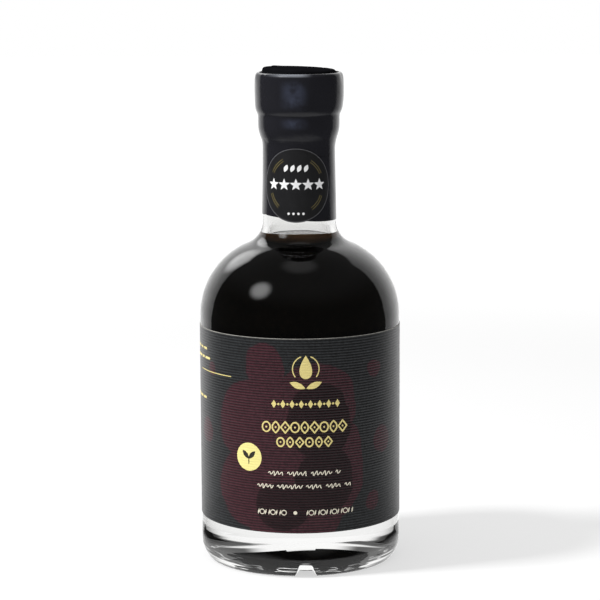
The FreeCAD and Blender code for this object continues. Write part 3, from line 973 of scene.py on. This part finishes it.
def make_prints():
    gold = ink_material("ink_gold", srgb(226, 208, 128), srgb(240, 224, 150))
    cream = ink_material("ink_cream", srgb(226, 218, 196), srgb(240, 234, 214))
    pale = ink_material("ink_pale", srgb(238, 226, 140), srgb(246, 236, 156))
    white = ink_material("ink_white", srgb(232, 232, 232), srgb(245, 245, 245))
    dull_gold = ink_material("ink_dull_gold", srgb(104, 94, 54), srgb(140, 126, 76), 0.4)
    dark = ink_material("ink_dark", srgb(40, 38, 30), srgb(54, 50, 40))
    line_grey = ink_material("ink_grey", srgb(84, 84, 88), srgb(110, 110, 114))

    def show(name, parts, material, node="label"):
        make_piece(name, joined(parts), material, node)

    golden = emblem()
    golden += garland(on_label, -10.1, 13.9, 58.1, lozenge(0.85, 1.35), 8, small=0.38)
    golden += open_shapes(on_label, -12.8, 15.8, 50.5, 1.85, 9)
    golden += open_shapes(on_label, -8.0, 10.8, 45.6, 1.65, 6)
    golden += [bar(on_label, -44.5, -24.7, 65.7, 0.28)]
    golden += short_bars(on_label, -62.0, -38.8, 73.0, 0.8, 3)
    golden += short_bars(on_label, -60.0, -35.6, 70.0, 0.8, 4)
    golden += short_bars(on_label, -58.0, -38.5, 56.4, 0.8, 5)
    show("print_gold", golden, gold)

    creamy = scribbles(on_label, -10.6, 13.4, 35.2, 11)
    creamy += scribbles(on_label, -14.5, 17.2, 30.8, 12)
    creamy += ticks(on_label, -14.7, -4.8, 22.1, 1.9)
    creamy += ticks(on_label, 1.6, 18.4, 22.1, 1.9)
    creamy += [disc(on_label, (-1.7, 22.1), oval(0.62, 0.62), PRINT_LIFT, rings=4, steps=24)]
    for row in range(9):
        creamy += short_bars(on_label, 50.0, 84.0 - 2.5 * (row % 3), 69.0 - row * 3.4, 0.7, 30 + row)
    show("print_cream", creamy, cream)

    spot = (-17.6, 39.9)
    show("print_disc", [disc(on_label, spot, oval(4.65, 4.65), PRINT_LIFT, rings=26, steps=96)], pale)
    show("print_sprout", sprout(spot), dark)

    middle = (0.0, (STICKER_LOW + STICKER_TOP) / 2)
    ring = (STICKER_TOP - STICKER_LOW) / 2

    def on_award(name, parts, material):
        show(name, parts, material, "neck_sticker")

    edge = circle_path(middle, ring - 0.25, steps=160)
    on_award("print_ring", [ribbon(on_sticker, edge, 0.18, AWARD_LIFT, closed=True)], line_grey)
    arcs = []
    for begin, end in ((-64, -28), (32, 66), (-140, -108), (112, 146)):
        for radius in (9.6, 8.9):
            path = circle_path(middle, radius, math.radians(begin), math.radians(end), 24)
            arcs.append(ribbon(on_sticker, path, 0.17, AWARD_LIFT))
    on_award("print_arcs", arcs, dull_gold)
    stars = [disc(on_sticker, (across, middle[1] + 0.2), star(2.05), AWARD_LIFT, rings=8, steps=80)
             for across in (-8.0, -4.0, 0.0, 4.0, 8.0)]
    stars += garland(on_sticker, -4.5, 4.5, middle[1] + 5.6, leaf(0.7, 1.3), 4, AWARD_LIFT, math.radians(24))
    stars += [disc(on_sticker, (across, middle[1] - 9.3), oval(0.42, 0.42), AWARD_LIFT, rings=3, steps=20)
              for across in (-2.4, -0.8, 0.8, 2.4)]
    on_award("print_stars", stars, white)


# ---------------------------------------------------------------- studio

CAMERA_BACK, CAMERA_UP, CAMERA_ASIDE = 0.7847, 0.2122, 0.00065
CAMERA_DOWN = math.radians(9.07)
CAMERA_ROLL = math.radians(0.25)
LENS = 142.3
KEY_TURN, KEY_RISE = math.radians(-72), math.radians(50)
KEY_SIZE, KEY_ENERGY = 0.14, 9.0
FILL = 0.5
DARK, DARK_THROUGH = 0.05, 0.05         # what gloss and clear glass show where nothing is lit
THROUGH, PAPER_THROUGH = 0.95, 0.8      # how bright white floor and paper look through glass
BACK_LAMP, FRONT_LAMP, CEILING_LAMP = (-144, 35, 4, 15.8), (-59, 40.5, 0, 15.8), (0, 90, 5, 17)
BACK_BRIGHT, FRONT_BRIGHT, CEILING_BRIGHT = 3.0, 4.5, 0.35
FLOOR_WHITE, FLOOR_BRIGHT, FLOOR_GLOW = 0.96, 1.06, 0.57
FLOOR_HALF = 3.0


def make_camera():
    data = bpy.data.cameras.new("camera")
    data.lens = LENS
    data.sensor_width = 36.0
    data.clip_start = 0.05
    camera = bpy.data.objects.new("camera", data)
    camera.location = (CAMERA_ASIDE, -CAMERA_BACK, CAMERA_UP)
    camera.rotation_euler = (math.pi / 2 - CAMERA_DOWN, CAMERA_ROLL, 0.0)
    bpy.context.scene.collection.objects.link(camera)
    bpy.context.scene.camera = camera


def glow(axes, turn, rise, inner, outer):
    """1 within the inner angle of a direction and 0 beyond the outer one, all in degrees."""
    turn, rise = math.radians(turn), math.radians(rise)
    centre = (math.sin(turn) * math.cos(rise), -math.cos(turn) * math.cos(rise), math.sin(rise))
    along = axes[0] * centre[0] + axes[1] * centre[1] + axes[2] * centre[2]
    return along.between(math.cos(math.radians(outer)), math.cos(math.radians(inner)))


def behind(x, y):
    """1 towards the paper behind the bottle, and 0 beyond its two ends."""
    return (y + x * 0.055).between(0.435, 0.465)


def backdrop(x, y):
    """How bright the paper behind the bottle is towards a direction."""
    return behind(x, y) * (y.between(0.42, 0.85) * 0.66 + 0.62)


def make_world():
    """An even fill, and a studio for gloss and glass.

    Gloss sees paper behind the bottle with a lamp in it, a lamp in front and a dim ceiling. What is seen
    through glass is the paper, but for its top and its sides. The rest is dark.
    """
    world = bpy.data.worlds.new("studio")
    bpy.context.scene.world = world
    world.use_nodes = True
    world.cycles.sampling_method = "NONE"
    tree = world.node_tree
    tree.nodes.clear()
    path = add(tree, "LightPath").outputs
    direction = add(tree, "SeparateXYZ", {0: add(tree, "TexCoord").outputs["Generated"]})
    axes = [Sum(tree, direction.outputs[axis]) for axis in range(3)]
    x, y, z = axes
    below_top = 1.0 - z.between(0.70, 0.74)
    paper = backdrop(x, y) * below_top
    back_lamp = glow(axes, *BACK_LAMP) * below_top * behind(x, y)
    front_lamp = glow(axes, *FRONT_LAMP) ** 1.6
    ceiling = glow(axes, *CEILING_LAMP) * CEILING_BRIGHT + z.between(0.3, 0.8) * 0.08
    through = Sum(tree, path["Is Transmission Ray"])
    reflected = paper + back_lamp * BACK_BRIGHT + front_lamp * FRONT_BRIGHT + ceiling + DARK
    sides = (x.size() / y.most(0.01)).between(0.18, 0.42) * z.between(0.15, 0.25)
    refracted = paper * PAPER_THROUGH * (1.0 - z.between(0.40, 0.60).most(sides) * 0.92) + DARK_THROUGH
    seen = reflected * (1.0 - through) + refracted * through
    fill = add(tree, "Background", {"Color": grey(1.0), "Strength": FILL})
    studio = add(tree, "Background", {"Color": grey(1.0), "Strength": seen})
    white = add(tree, "Background", {"Color": grey(1.0), "Strength": 1.0})
    shiny = Sum(tree, path["Is Glossy Ray"]).most(through)
    gloss = add(tree, "MixShader", {0: shiny, 1: fill.outputs[0], 2: studio.outputs[0]})
    last = add(tree, "MixShader", {0: path["Is Camera Ray"], 1: gloss.outputs[0], 2: white.outputs[0]})
    add(tree, "OutputWorld", {0: last.outputs[0]})


def make_key_light():
    """It lights the object and casts the shadow; gloss sees the world's lamp instead, with soft edges."""
    data = bpy.data.lights.new("key", "AREA")
    data.size = KEY_SIZE
    data.energy = KEY_ENERGY
    key = bpy.data.objects.new("key", data)
    away = np.array([math.sin(KEY_TURN) * math.cos(KEY_RISE), -math.cos(KEY_TURN) * math.cos(KEY_RISE),
                     math.sin(KEY_RISE)])
    key.location = np.array([0, 0, SHOULDER_HEIGHT * MM]) + away
    key.rotation_euler = (math.pi / 2 - KEY_RISE, 0.0, KEY_TURN)
    key.visible_glossy = False
    key.visible_transmission = False
    bpy.context.scene.collection.objects.link(key)


def make_floor():
    """White to the eye but for the shadow; gloss sees it lit behind, near by and at the foot."""
    mesh = bpy.data.meshes.new("floor")
    corners = [(x * FLOOR_HALF, y * FLOOR_HALF, 0) for x, y in ((-1, -1), (1, -1), (1, 1), (-1, 1))]
    mesh.from_pydata(corners, [], [(0, 1, 2, 3)])
    floor = bpy.data.objects.new("floor", mesh)
    bpy.context.scene.collection.objects.link(floor)
    material = bpy.data.materials.new("floor")
    material.use_nodes = True
    tree = material.node_tree
    tree.nodes.clear()
    path = add(tree, "LightPath").outputs
    x, y, _ = place(tree)
    reach = (x * x + y * y).root().most(1.0)
    x, y = x / reach, y / reach
    near = reach.patch(60.0, 95.0, 140.0, 250.0)
    foot = 1.0 - reach.between(44.0, 56.0)
    gloss = backdrop(x, y).most(near * 0.85).most(foot).most(DARK)
    glossy = add(tree, "Emission", {"Color": grey(1.0), "Strength": gloss})
    through = Sum(tree, path["Is Transmission Ray"])
    lit = add(tree, "BsdfDiffuse", {"Color": grey(FLOOR_WHITE)})
    bright = FLOOR_BRIGHT - through * (FLOOR_BRIGHT - THROUGH)
    white = add(tree, "Emission", {"Color": grey(1.0), "Strength": bright})
    under = (1.0 - reach.between(30.0, 42.0)) * through
    whiter = (reach.between(350.0, 700.0) * (1.0 - FLOOR_GLOW) + FLOOR_GLOW) * (1.0 - under)
    shown = add(tree, "MixShader", {0: whiter, 1: lit.outputs[0], 2: white.outputs[0]})
    clear = Sum(tree, path["Is Camera Ray"]).most(through)
    matt = add(tree, "MixShader", {0: clear, 1: lit.outputs[0], 2: shown.outputs[0]})
    mirrored = Sum(tree, path["Is Glossy Ray"]) * (1.0 - through)
    last = add(tree, "MixShader", {0: mirrored, 1: matt.outputs[0], 2: glossy.outputs[0]})
    add(tree, "OutputMaterial", {0: last.outputs[0]})
    mesh.materials.append(material)


def main():
    make_glass()
    make_glaze()
    make_stopper()
    make_film()
    make_sticker()
    make_label()
    make_prints()
    make_camera()
    make_world()
    make_key_light()
    make_floor()
    bpy.context.scene.view_settings.view_transform = "Standard"


main()
